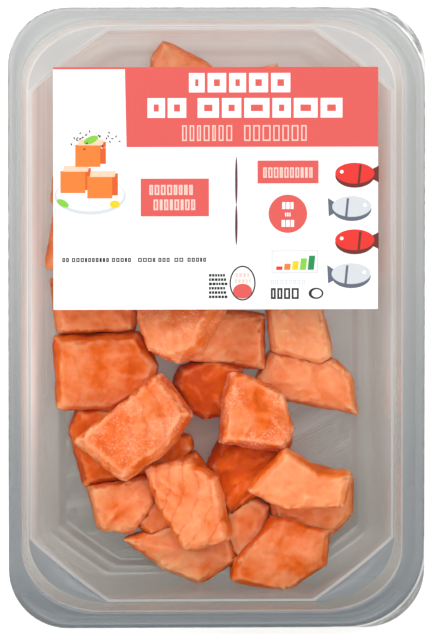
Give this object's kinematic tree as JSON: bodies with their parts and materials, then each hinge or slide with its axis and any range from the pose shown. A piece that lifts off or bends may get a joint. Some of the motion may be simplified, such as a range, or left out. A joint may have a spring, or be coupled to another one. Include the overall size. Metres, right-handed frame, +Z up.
{
  "type": "pack of salmon cubes",
  "caption": "Sealed clear tray of raw salmon cubes: a thermoformed tray with a flange and corner ledges, a clear lidding film and a printed label lying on the film.",
  "frame": {"origin": "on the surface that the pack stands on, under the middle of its bounding box", "axes": "+X to the right of the pack seen from above with the label at the top, +Y along its length towards the label's end, +Z up"},
  "size_m": [0.14, 0.209, 0.0387],
  "materials": {
    "tray_plastic": "clear thermoformed plastic, slightly grey, glossy",
    "film_plastic": "clear thin film, very glossy",
    "label_paper": "white printed label with coral fields, satin",
    "salmon_flesh": "moist raw salmon, orange, with pale muscle lines"
  },
  "bodies": {
    "root": {"tray": "tray_plastic", "lid_film": "film_plastic", "label": "label_paper", "salmon_01": "salmon_flesh", "salmon_02": "salmon_flesh", "salmon_03": "salmon_flesh", "salmon_04": "salmon_flesh", "salmon_05": "salmon_flesh", "salmon_06": "salmon_flesh", "salmon_07": "salmon_flesh", "salmon_08": "salmon_flesh", "salmon_09": "salmon_flesh", "salmon_10": "salmon_flesh", "salmon_11": "salmon_flesh", "salmon_12": "salmon_flesh", "salmon_13": "salmon_flesh", "salmon_14": "salmon_flesh", "salmon_15": "salmon_flesh", "salmon_16": "salmon_flesh", "salmon_17": "salmon_flesh", "salmon_18": "salmon_flesh", "salmon_19": "salmon_flesh", "salmon_20": "salmon_flesh", "salmon_21": "salmon_flesh", "salmon_22": "salmon_flesh", "salmon_23": "salmon_flesh", "salmon_24": "salmon_flesh", "salmon_25": "salmon_flesh", "salmon_26": "salmon_flesh", "salmon_27": "salmon_flesh", "salmon_28": "salmon_flesh", "salmon_29": "salmon_flesh", "salmon_30": "salmon_flesh", "salmon_31": "salmon_flesh", "salmon_32": "salmon_flesh", "salmon_33": "salmon_flesh", "salmon_34": "salmon_flesh", "salmon_35": "salmon_flesh"}
  },
  "joints": []
}
